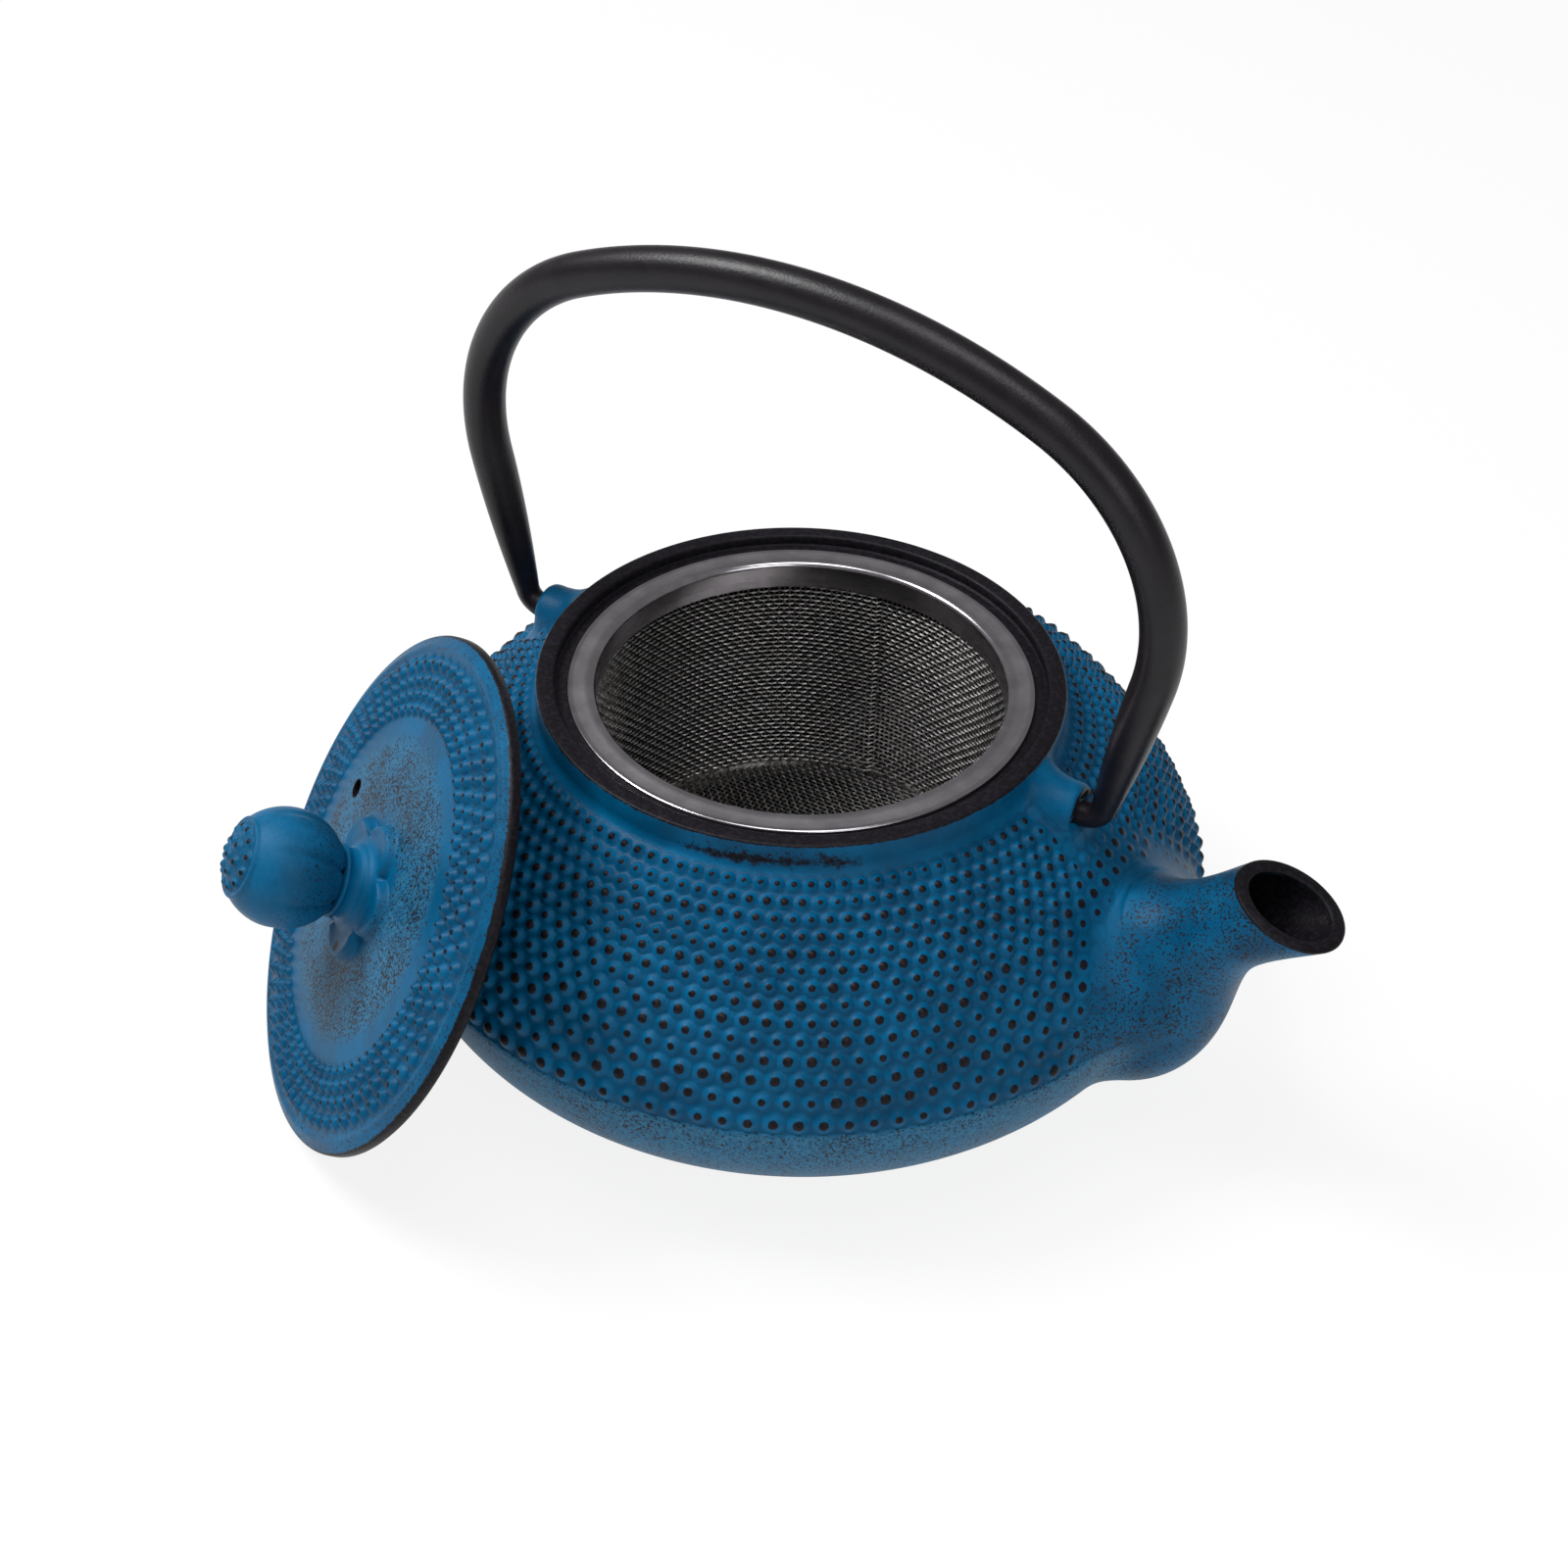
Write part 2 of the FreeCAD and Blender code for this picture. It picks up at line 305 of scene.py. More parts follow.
def vectors_of(items, key):
    flat = np.empty(len(items) * 3, np.float32)
    items.foreach_get(key, flat)
    return flat.reshape(-1, 3).astype(float)


def places_of(mesh):
    return vectors_of(mesh.vertices, "co") / MM


def put_places(mesh, places):
    mesh.vertices.foreach_set("co", (places * MM).astype(np.float32).ravel())
    mesh.update()


def put_value(mesh, name, values):
    attribute = mesh.attributes.new(name, "FLOAT", "POINT")
    attribute.data.foreach_set("value", np.asarray(values, np.float32))


def strip(lower, upper):
    """Faces between two rings of point numbers, whose counts are equal or in the ratio two."""
    low_count, high_count = len(lower), len(upper)
    if low_count == 1:
        return [(lower[0], upper[(j + 1) % high_count], upper[j]) for j in range(high_count)]
    if high_count == 1:
        return [(lower[j], lower[(j + 1) % low_count], upper[0]) for j in range(low_count)]
    if low_count == high_count:
        return [(lower[j], lower[(j + 1) % low_count], upper[(j + 1) % low_count], upper[j])
                for j in range(low_count)]
    if low_count > high_count:
        return [(lower[2 * j], lower[2 * j + 1], lower[(2 * j + 2) % low_count],
                 upper[(j + 1) % high_count], upper[j]) for j in range(high_count)]
    return [(lower[j], lower[(j + 1) % low_count], upper[(2 * j + 2) % high_count],
             upper[2 * j + 1], upper[2 * j]) for j in range(low_count)]


def revolved(name, rows, turn=0.0, closed=False):
    """A solid about Z from rows of radius, height and count of points.

    A radius of 0 is a pole, and closed joins the last row to the first.
    """
    places, rings = [], []
    first = 0
    for radius, height, count in rows:
        if np.ndim(radius) == 0 and radius == 0:
            count = 1
        angles = turn + TURN * np.arange(count) / count
        ring = np.empty((count, 3))
        ring[:, 0] = radius * np.cos(angles)
        ring[:, 1] = radius * np.sin(angles)
        ring[:, 2] = height
        places.append(ring)
        rings.append(list(range(first, first + count)))
        first += count
    faces = []
    for lower, upper in zip(rings, rings[1:] + (rings[:1] if closed else [])):
        faces += strip(lower, upper)
    return mesh_piece(name, np.concatenate(places), faces)


def tube(name, rings):
    """A solid through rings with equal counts of points, closed at both ends."""
    count = len(rings[0])
    numbers = np.arange(len(rings) * count).reshape(-1, count).tolist()
    faces = [tuple(reversed(numbers[0])), tuple(numbers[-1])]
    for lower, upper in zip(numbers, numbers[1:]):
        faces += strip(lower, upper)
    return mesh_piece(name, np.concatenate(rings), faces)


def counted(points, count):
    """Rows for revolved from points of radius and height."""
    return [(radius, height, count) for radius, height in points]


def arc_points(radius, height, size, start, end, count):
    """Points of an arc in the (radius, height) plane, angles in degrees."""
    angles = np.radians(np.linspace(start, end, count))
    return [(radius + size * cos(a), height + size * sin(a)) for a in angles]


def combine(body, tool, operation):
    """Adds or cuts a tool's solid and removes the tool."""
    modifier = body.modifiers.new("combine", "BOOLEAN")
    modifier.operation = operation
    modifier.solver = "MANIFOLD"
    modifier.object = tool
    bpy.context.view_layer.update()
    evaluated = body.evaluated_get(bpy.context.evaluated_depsgraph_get())
    mesh = bpy.data.meshes.new_from_object(evaluated)
    body.modifiers.clear()
    mesh.materials.clear()
    body.data = mesh
    bpy.data.objects.remove(tool)


def relax(mesh, weight, rounds):
    """Moves points towards the mean of their neighbours, by weight."""
    places = places_of(mesh)
    count = len(places)
    edges = np.empty(len(mesh.edges) * 2, np.int32)
    mesh.edges.foreach_get("vertices", edges)
    start, end = edges.reshape(-1, 2).T
    near = (weight[start] > 0) | (weight[end] > 0)
    start, end = start[near], end[near]
    degree = np.bincount(start, minlength=count) + np.bincount(end, minlength=count)
    moving = (weight > 0) & (degree > 0)
    for _ in range(rounds):
        mean = np.empty_like(places)
        for axis in range(3):
            mean[:, axis] = np.bincount(start, places[end, axis], count)
            mean[:, axis] += np.bincount(end, places[start, axis], count)
        step = mean[moving] / degree[moving, None] - places[moving]
        places[moving] += weight[moving, None] * step
    put_places(mesh, places)


def spline(knots, values, at):
    """Natural cubic spline through values at knots."""
    knots, values = np.asarray(knots, float), np.asarray(values, float)
    gaps = np.diff(knots)
    slopes = np.diff(values) / gaps
    size = len(knots)
    system, right = np.eye(size), np.zeros(size)
    for i in range(1, size - 1):
        system[i, i - 1:i + 2] = gaps[i - 1], 2 * (gaps[i - 1] + gaps[i]), gaps[i]
        right[i] = 6 * (slopes[i] - slopes[i - 1])
    bend = np.linalg.solve(system, right)
    i = np.clip(np.searchsorted(knots, at) - 1, 0, size - 2)
    after, before = knots[i + 1] - at, at - knots[i]
    curve = (bend[i] * after ** 3 + bend[i + 1] * before ** 3) / (6 * gaps[i])
    start = (values[i] / gaps[i] - bend[i] * gaps[i] / 6) * after
    end = (values[i + 1] / gaps[i] - bend[i + 1] * gaps[i] / 6) * before
    return curve + start + end


# Pot body


def nail_row_angle(row):
    first, second, third = nail_angle_steps
    return nail_first_angle + first * row + second * row ** 2 + third * row ** 3


def free_of_nails(places):
    """From 0 beside the spout and the lugs to 1 where the hobnails are full."""
    x, y, z = places.T
    side = np.abs(y) - (plain_spout_half - plain_spout_slope * (z - plain_spout_low))
    spout = np.maximum(smooth_step(*plain_spout_fade, side), smooth_step(*plain_spout_top, z))
    spout = np.where(x > 0, spout, 1.0)
    lug_side = smooth_step(*plain_lug_side, np.abs(y))
    return spout * np.maximum(lug_side, 1 - smooth_step(*plain_lug_low, z))


def pot_nails(places):
    """Distance to the nearest hobnail's centre over its radius, and the number of that hobnail."""
    x, y, z = places.T
    radius = np.hypot(x, y)
    arc_angle = np.degrees(np.arctan2(z - shoulder_height, radius - shoulder_radius))
    column = (np.degrees(np.arctan2(y, x)) - nail_turn) * nails_around / 360
    nearest = np.full(len(places), far_from_nail)
    number = np.zeros(len(places), int)
    for row in range(nail_rows):
        row_angle = nail_row_angle(row)
        row_radius = shoulder_radius + shoulder_round * cos(radians(row_angle))
        pitch = TURN * row_radius / nails_around
        shift = column - 0.5 * (row % 2)
        along = (shift - np.round(shift)) * pitch
        across = np.radians(arc_angle - row_angle) * shoulder_round
        distance = np.hypot(along, across) / (nail_width * pitch)
        closer = distance < nearest
        nearest[closer] = distance[closer]
        number[closer] = row * nails_around + np.round(shift[closer]).astype(int) % nails_around
    return nearest, number


def dome(distance):
    return np.clip(1 - distance ** 2, 0, None) ** 1.5


def shoulder_row(arc_angle, count):
    """One ring of the shoulder with its hobnails raised."""
    turn = np.radians(nail_turn) + TURN * np.arange(count) / count
    angle = radians(arc_angle)
    radius = shoulder_radius + shoulder_round * cos(angle)
    height = shoulder_height + shoulder_round * sin(angle)
    places = np.stack([radius * np.cos(turn), radius * np.sin(turn), np.full(count, height)], 1)
    nearest, number = pot_nails(places)
    vary = 1 + nail_height_vary * np.sin(number * 2.4)
    lift = nail_height * vary * dome(nearest) * free_of_nails(places)
    return radius + lift * cos(angle), height + lift * sin(angle), count


def shoulder_angles(start, end):
    """Ring angles of the shoulder, evenly between the hobnail rows."""
    stops = [start] + [nail_row_angle(row) for row in range(nail_rows)] + [end]
    angles = []
    for low, high in zip(stops, stops[1:]):
        angles += list(np.linspace(low, high, rows_per_nail, endpoint=False))
    return angles + [end]


def belly_arc(inset, height, count):
    """The belly's arc, and the radius at which the cone under it comes down to a height."""
    centre, size = belly_radius - belly_round, belly_round - inset
    arc = arc_points(centre, belly_height, size, -belly_turn, 0, count)
    slope = tan(radians(90 - belly_turn))
    return arc, arc[0][0] - (arc[0][1] - height) / slope


def belly_rows(coarse, middle, fine):
    """Rows from the middle of the base to the parting line."""
    belly, foot_radius = belly_arc(0, foot_height, belly_rings)
    foot = [(foot_radius / 2, 0), (foot_radius - foot_edge, 0)]
    foot += [(foot_radius, foot_edge), (foot_radius, foot_height)]
    rows = [(0, 0, 1)] + counted(foot + belly[:belly_coarse_rings], coarse)
    rows += counted(belly[belly_coarse_rings:-1], middle)
    for (inset, drop), count in zip(parting_line, (middle, fine)):
        rows.append((belly_radius - inset, belly_height - drop, count))
    return rows


def pot_outside():
    """The casting without spout, lugs or hollow, with its hobnails."""
    fine = nails_around * columns_per_nail
    middle, coarse = fine // 2, fine // 4
    fillet_place = rim_radius + neck_fillet
    run = fillet_place - shoulder_radius
    rise = sqrt((shoulder_round + neck_fillet) ** 2 - run ** 2)
    fillet_angle = degrees(atan2(rise, run))
    parting_angle = degrees(asin((belly_height - shoulder_height) / shoulder_round))
    rows = belly_rows(coarse, middle, fine)
    rows += [shoulder_row(angle, fine) for angle in shoulder_angles(parting_angle, fillet_angle)]
    neck = arc_points(fillet_place, shoulder_height + rise, neck_fillet, 180 + fillet_angle, 180, 7)
    edge = arc_points(rim_radius - rim_round, rim_height - rim_round, rim_round, 0, 90, 6)
    rows += counted(neck[1:] + edge, fine)
    for inset, count in zip(rim_ring_insets, (middle, coarse)):
        rows.append((rim_radius - inset, rim_height, count))
    rows.append((0, rim_height, 1))
    return revolved("pot_body_cast", rows, radians(nail_turn))


def pot_cavity():
    """The hollow, with the ledge and the recess at the rim."""
    belly, base_radius = belly_arc(pot_wall, floor_thickness, 14)
    inner_shoulder = shoulder_round - pot_wall
    low_angle = degrees(asin((belly_height - shoulder_height) / inner_shoulder)) + 1
    high_angle = degrees(acos((mouth_radius - shoulder_radius) / inner_shoulder))
    shoulder = arc_points(shoulder_radius, shoulder_height, inner_shoulder, low_angle, high_angle, 24)
    base = [(base_radius / 2, floor_thickness), (base_radius, floor_thickness)]
    ledge = [(mouth_radius, ledge_height - ledge_edge), (mouth_radius + ledge_edge, ledge_height)]
    ledge += [(recess_radius - recess_edge, ledge_height)]
    ledge += [(recess_radius, ledge_height + recess_edge)]
    edge = arc_points(recess_radius + rim_round, rim_height - rim_round, rim_round, 180, 90, 5)
    edge[-1] = (edge[-1][0] + cavity_over, rim_height + cavity_over)
    rows = [(0, floor_thickness, 1)] + counted(base + belly + shoulder, cavity_columns)
    rows += counted(ledge + edge, 2 * cavity_columns) + [(0, rim_height + cavity_over, 1)]
    return revolved("cavity", rows)


def spout_sections(inset, ends):
    """Sections from the root to past the lip, as the stations are given."""
    stations = np.array(spout_stations)
    steps = np.hypot(np.diff(stations[:, 0]), np.diff(stations[:, 1]))
    knots = np.concatenate([[0], np.cumsum(steps)])
    along = np.linspace(0, knots[-1], spout_rings)
    sections = np.stack([spline(knots, column, along) for column in stations.T], 1)
    sections[:, 3:] -= inset
    rise = radians(sections[-1, 2])
    past = []
    for step, grow in ends:
        change = (cos(rise) * step, sin(rise) * step, 0, grow, grow)
        past.append(sections[-1] + change)
    return np.vstack([sections, past])


def spout_solid(name, inset, ends):
    """The spout's outside, or its bore, through its sections."""
    angles = TURN * np.arange(spout_columns) / spout_columns
    rings = []
    for x, z, rise, half_width, half_depth in spout_sections(inset, ends):
        rise = radians(rise)
        depth = half_depth * np.sin(angles)
        rings.append(np.stack([x - sin(rise) * depth, half_width * np.cos(angles),
                               z + cos(rise) * depth], 1))
    return tube(name, rings)


def lug_outline(half_width, drop):
    """The lug seen along X: round above the pivot, then half_width at its foot and drop deep."""
    points = arc_points(0, 0, lug_radius, -10, 190, 23)
    return np.array(points + [(across * half_width, -share * drop) for across, share in lug_foot])


def lug(side):
    """A lug whose sides flare from a narrow outer face to a wide root."""
    face, root = lug_outline(*lug_face_outline), lug_outline(*lug_root_outline)
    steps = [(reach, 0) for reach in lug_reaches]
    steps += [(lug_face - back, shrink) for back, shrink in lug_edge]
    rings = []
    for reach, shrink in steps:
        share = ((lug_face - reach) / (lug_face - lug_root)) ** lug_flare
        outline = face * (1 - share) + root * share
        outline *= 1 - shrink / np.linalg.norm(outline, axis=1)[:, None]
        across, height = outline.T
        rings.append(np.stack([np.full(len(outline), side * reach), side * across,
                               pivot_height + height], 1))
    return tube("lug", rings)


def lug_hole(side):
    angles = TURN * np.arange(lug_hole_columns) / lug_hole_columns
    rings = []
    for reach in (lug_face - lug_hole_depth, lug_face + 1):
        rings.append(np.stack([np.full(lug_hole_columns, side * reach),
                               side * lug_hole_radius * np.cos(angles),
                               pivot_height + lug_hole_radius * np.sin(angles)], 1))
    return tube("hole", rings)


def tree_of(piece):
    return BVHTree.FromPolygons([v.co.copy() for v in piece.data.vertices],
                                [tuple(p.vertices) for p in piece.data.polygons])


def seam_lift(point, first, second, reach):
    """How far a point of two joined skins moves out to blend them, and its share of the blend."""
    _, normal_a, _, gap_a = first.find_nearest(point, reach)
    _, normal_b, _, gap_b = second.find_nearest(point, reach)
    if normal_a is None or normal_b is None or min(gap_a, gap_b) > seam_near_skin * MM:
        return Vector(), 0.0
    share = max(0.0, 1 - abs(gap_a - gap_b) / reach)
    if gap_a > gap_b:
        normal_a, normal_b = normal_b, normal_a
    way = normal_a * (1 - share / 2) + normal_b * (share / 2)
    return way * (share ** 2 * reach / 4 / max(way.length_squared, 0.4)), share


def blend_seam(piece, first, second, widths, box):
    """Fills the seam between two skins, within a box."""
    places = places_of(piece.data)
    weight = np.zeros(len(places))
    narrow, wide = widths
    reach = narrow + (wide - narrow) * smooth_step(*seam_widens, places[:, 2])
    inside = np.all((places > box[0]) & (places < box[1]), 1)
    for i in np.nonzero(inside)[0]:
        lift, share = seam_lift(Vector(places[i] * MM), first, second, reach[i] * MM)
        places[i] += np.array(lift) / MM
        weight[i] = smooth_step(0.0, 0.3, share)
    put_places(piece.data, places)
    relax(piece.data, 0.5 * weight, seam_relax_rounds)


def pot_body():
    """The casting, and the skins it was joined from."""
    piece = pot_outside()
    spout = spout_solid("spout", 0, spout_ends)
    lugs = [lug(1), lug(-1)]
    skins = [tree_of(skin) for skin in [piece, spout] + lugs]
    for tool in [spout] + lugs:
        combine(piece, tool, "UNION")
    combine(piece, pot_cavity(), "DIFFERENCE")
    combine(piece, spout_solid("bore", spout_wall, bore_ends), "DIFFERENCE")
    for side in (1, -1):
        combine(piece, lug_hole(side), "DIFFERENCE")
    blend_seam(piece, skins[0], skins[1], spout_seam_widths, spout_seam_box)
    for skin, box in zip(skins[2:], lug_seam_boxes):
        blend_seam(piece, skins[0], skin, lug_seam_widths, box)
    return piece, skins


def spout_share(places):
    """Distance from the mouth's axis as a share of its ellipse, and height above the lip."""
    x, z, rise, wide, deep = spout_stations[-1]
    turn = radians(rise)
    offset = places - np.array([x, 0, z])
    above = offset[:, 0] * cos(turn) + offset[:, 2] * sin(turn)
    depth = -offset[:, 0] * sin(turn) + offset[:, 2] * cos(turn)
    return np.hypot(offset[:, 1] / wide, depth / deep), above


def depth_below(places, skins):
    """How deep each point lies inside the skins, looking 5 mm around it."""
    depth = np.full(len(places), -bare_limit)
    for i, place in enumerate(places * MM):
        point = Vector(place)
        for tree in skins:
            spot, normal, _, gap = tree.find_nearest(point, 5 * MM)
            if spot is not None and (spot - point).dot(normal) > 0:
                depth[i] = max(depth[i], gap / MM)
    return depth


def pot_nail_values(places):
    """Hobnail distance over the shoulder, and a large one elsewhere."""
    x, y, z = places.T
    nearest, number = pot_nails(places)
    off_arc = np.hypot(np.hypot(x, y) - shoulder_radius, z - shoulder_height) - shoulder_round
    on_shoulder = (np.abs(off_arc) < 1.6) & (z > belly_height + 0.2)
    nearest = np.where(on_shoulder, nearest, far_from_nail)
    nearest = np.where(free_of_nails(places) > 0.45, nearest, np.maximum(nearest, 0.6))
    vary = 1 + 0.2 * np.sin(number * 12.99)
    return np.minimum(np.where(nearest < 1, nearest * vary, nearest), 1.6)


def scrape_values(places):
    """The worn patch at the front of the neck."""
    x, y, z = places.T
    off_turn = np.abs(np.degrees(np.arctan2(y, x)) - scrape_turn) - scrape_half_turn
    scrape = np.minimum(-0.03 * off_turn, 0.02 - 0.2 * np.abs(z - scrape_height)) + 0.04
    return np.where(np.hypot(x, y) < rim_radius + 3, scrape, -bare_limit)


def pot_bare_values(places, normals, skins):
    """Bare iron at the rim, inside, on the spout's lip, on the lugs' faces and in the scrape."""
    x, y, z = places.T
    radius = np.hypot(x, y)
    share, above = spout_share(places)
    rim = np.minimum(z - (rim_height - 0.3), rim_radius + 0.3 - radius)
    recess = np.minimum(recess_radius + 0.6 - radius, z - ledge_height + 2)
    inside = np.maximum(recess, depth_below(places, skins[:2]) - bare_wall)
    lip = 3 * np.minimum(above + 0.1, 1.15 - share)
    facing = normals[:, 0] * np.sign(x)
    flat = (np.abs(np.abs(x) - lug_face) < 0.35) & (np.abs(y) < 6) & (z > 48)
    face = np.where(flat, 4 * (facing - 0.8), -bare_limit)
    bare = np.maximum.reduce([rim, inside, lip, face, scrape_values(places)])
    return np.clip(bare, -bare_limit, bare_limit)


def paint_pot(piece, skins):
    """Values that the enamel reads: hobnail distance, bare iron, pale wear with a painted reflection
    of the floor on the undersides, and flecks.
    """
    mesh = piece.data
    places, normals = places_of(mesh), vectors_of(mesh.vertex_normals, "vector")
    x, y, z = places.T
    put_value(mesh, "nail", pot_nail_values(places))
    put_value(mesh, "bare", pot_bare_values(places, normals, skins))
    # The undersides are paled as a painted reflection of the floor; the band at the parting line is
    # worn pale
    under = smooth_step(-0.25, -0.75, normals[:, 2])
    band = smooth_step(belly_height + 0.2, belly_height - 0.2, z)
    band *= smooth_step(belly_radius + 3.0, belly_radius + 0.3, np.hypot(x, y))
    put_value(mesh, "pale", np.maximum(band * 0.8, under * 0.9))
    spout_side = smooth_step(60, 64, x) * smooth_step(26, 22, np.abs(y))
    put_value(mesh, "speck", np.maximum(np.maximum(band, under), spout_side * 1.1))


# Lid, in its own frame: Z along its axis, Y up its slope


def lid_matrix():
    lean, compass = radians(lid_lean), radians(lid_azimuth)
    outward = np.array([cos(compass), sin(compass), 0.0])
    up = np.array([0.0, 0.0, 1.0])
    axis = outward * sin(lean) + up * cos(lean)
    slope = up * sin(lean) - outward * cos(lean)
    return np.stack([np.cross(slope, axis), slope, axis])


def lean_on_pot(piece):
    """Takes a piece from the lid's own frame to its place, and gives its places from before."""
    local = places_of(piece.data)
    put_places(piece.data, local @ lid_matrix() + np.array(lid_centre))
    return local


def crown_height(radius):
    ball = (lid_radius ** 2 + lid_crown ** 2) / (2 * lid_crown)
    return np.sqrt(ball ** 2 - radius ** 2) + lid_crown - ball


def lid_nails(radius, turn):
    """Distance to the nearest hobnail of the lid over its radius."""
    nearest = np.full(np.shape(turn), far_from_nail)
    for row, row_radius in enumerate(lid_nail_rows):
        pitch = TURN * row_radius / lid_nails_around
        shift = turn * lid_nails_around / TURN - 0.5 * (row % 2)
        along = (shift - np.round(shift)) * pitch
        vary = 1 + 0.14 * np.sin(np.round(shift) * 12.99 + row * 4.1)
        distance = np.hypot(along, radius - row_radius) / (lid_nail_width * pitch)
        nearest = np.minimum(nearest, np.where(distance < 1, distance * vary, distance))
    return nearest


def petal_edge(turn):
    """Radius at which the five petals at the stem's foot end."""
    wave = np.abs(np.cos(2.5 * (turn - radians(petal_turn))))
    return petal_notch + (petal_tip - petal_notch) * wave ** 0.7


def lid_row(radius, count):
    """One ring of the lid's top with its hobnails, bead and petals."""
    turn = TURN * np.arange(count) / count
    nail = np.clip(1 - lid_nails(radius, turn) ** 2, 0, None) ** 1.2
    height = crown_height(radius) + lid_nail_height * nail
    height += bead_height * exp(-((radius - bead_radius) / bead_width) ** 2)
    edge = petal_edge(turn)
    petal = smooth_step(edge, edge - 1.1, np.full(count, radius))
    height += petal_height * petal * (1 + 0.25 * smooth_step(edge - 3.5, edge - 0.8, radius))
    return np.full(count, radius), height, count


def lid_underside():
    """Radius and height from the rivet's hole out: hub, locating ring and edge."""
    return [
        (rivet_hole, lid_hub_low), (lid_hub_radius - lid_corner, lid_hub_low),
        (lid_hub_radius, lid_hub_low + lid_corner), (lid_hub_radius, lid_under),
        (lid_ring_inner, lid_under), (lid_ring_inner, lid_ring_low + lid_corner),
        (lid_ring_inner + lid_corner, lid_ring_low), (lid_ring_outer - lid_corner, lid_ring_low),
        (lid_ring_outer, lid_ring_low + lid_corner), (lid_ring_outer, -lid_edge),
        (lid_radius - lid_corner, -lid_edge), (lid_radius, -lid_edge + lid_corner),
    ]


def lid_plate():
    fine, coarse = 8 * lid_nails_around, 4 * lid_nails_around
    rim = arc_points(lid_radius - lid_rim_round, -0.75, lid_rim_round, 15, 75, 5)
    rows = counted(lid_underside(), coarse) + counted([(lid_radius, lid_rim_low)] + rim, fine)
    rows += [lid_row(radius, fine) for radius in np.arange(*lid_nail_rings)]
    for rings in (lid_plain_rings, lid_petal_rings):
        rows += [lid_row(radius, coarse) for radius in np.arange(*rings)]
    rows += counted(stem_profile + ((rivet_hole, stem_height),), coarse)
    piece = revolved("lid_cast", rows, closed=True)
    combine(piece, vent_tool(), "DIFFERENCE")
    paint_lid(piece)
    return piece


def spot_on_lid(place, angle):
    turn = radians(angle)
    return place * np.array([cos(turn), sin(turn)])


def vent_tool():
    low, high = vent_flare[0][0], vent_flare[-1][0]
    rows = [(vent_radius + grow, height, vent_columns) for height, grow in vent_flare]
    tool = revolved("vent", [(0, low, 1)] + rows + [(0, high, 1)])
    places = places_of(tool.data)
    places[:, :2] += spot_on_lid(vent_place, vent_angle)
    put_places(tool.data, places)
    return tool


def paint_lid(piece):
    """Values that the enamel reads, after the lid is put in its place."""
    local = lean_on_pot(piece)
    mesh = piece.data
    flat, height = local[:, :2], local[:, 2]
    radius = np.hypot(*flat.T)
    top = height > -0.8
    nail = np.minimum(lid_nails(radius, np.arctan2(flat[:, 1], flat[:, 0])) + 0.12, 1.6)
    put_value(mesh, "nail", np.where(top & (radius > 26), nail, far_from_nail))
    edge = radius - (lid_radius - 0.35)
    under = -height - 0.75
    vent = vent_radius + 0.15 - np.hypot(*(flat - spot_on_lid(vent_place, vent_angle)).T)
    pit = pit_radius - np.hypot(*(flat - spot_on_lid(pit_place, pit_angle)).T)
    crest = np.where(top, -0.14 - 1.2 * np.abs(radius - bead_radius), -bare_limit)
    bare = np.maximum.reduce([edge, under, vent, pit, crest])
    put_value(mesh, "bare", np.clip(bare, -bare_limit, bare_limit))
    middle = smooth_step(25.5, 22, radius) * smooth_step(10.5, 13.0, radius)
    put_value(mesh, "pale", middle * 0.6)
    put_value(mesh, "speck", np.maximum(middle * 1.6, 0.45 * smooth_step(37.6, 38.2, radius)))


# Knob


def knob_bumps(colat, turn):
    """Distance to the nearest bump of the knob over its radius, angles in degrees."""
    nearest = colat / knob_middle_bump
    for place, count, size in knob_bump_rings:
        shift = turn * count / 360 - 0.25
        along = (shift - np.round(shift)) * 360 / count * sin(radians(place))
        nearest = np.minimum(nearest, np.hypot(along, colat - place) / size)
    return nearest


def knob_radius_at(colat, turn):
    """The ball with its bumps, the ridge about them, and grooves towards the neck."""
    lift = knob_bump_height * dome(knob_bumps(colat, turn)) - 0.4 * smooth_step(40, 35, colat)
    lift = lift + 0.3 * np.exp(-((colat - 40.5) / 2.4) ** 2)
    shift = turn * knob_grooves / 360
    groove = np.exp(-((shift - np.round(shift)) * 360 / knob_grooves / 5.0) ** 2)
    return knob_radius + lift - knob_groove_depth * groove * smooth_step(52, 115, colat)


def knob_rows(centre):
    """Rows from the rivet's bore, over the seat, to the top of the ball."""
    half, seat = knob_columns // 2, stem_height + knob_seat_gap
    rows = [(0, bore_top, 1), (rivet_hole, bore_top, half), (rivet_hole, seat, half)]
    rows += [(knob_seat_radius - 0.3, seat, knob_columns)]
    turn = 360 * np.arange(knob_columns) / knob_columns
    for angle in np.concatenate([np.arange(knob_seat_angle, 50, -2.5), np.arange(50, 0.5, -0.9)]):
        size = knob_radius_at(np.full(knob_columns, angle), turn)
        colat = radians(angle)
        rows.append((size * sin(colat), centre + size * cos(colat), knob_columns))
    return rows + [(0, centre + knob_radius + 0.3, 1)]


def lid_knob():
    centre = stem_height + sqrt(knob_radius ** 2 - knob_seat_radius ** 2)
    piece = revolved("lid_knob_cast", knob_rows(centre))
    x, y, z = lean_on_pot(piece).T
    mesh = piece.data
    colat = np.degrees(np.arctan2(np.hypot(x, y), z - centre))
    bumps = np.minimum(knob_bumps(colat, np.degrees(np.arctan2(y, x))), 1.6)
    put_value(mesh, "nail", np.where(colat < 42, bumps, far_from_nail))
    put_value(mesh, "bare", np.clip((colat - 143) * 0.16, -bare_limit, bare_limit))
    put_value(mesh, "pale", np.full(len(x), 0.12))
    put_value(mesh, "speck", 0.35 * smooth_step(60, 110, colat))
    return piece


# Handle


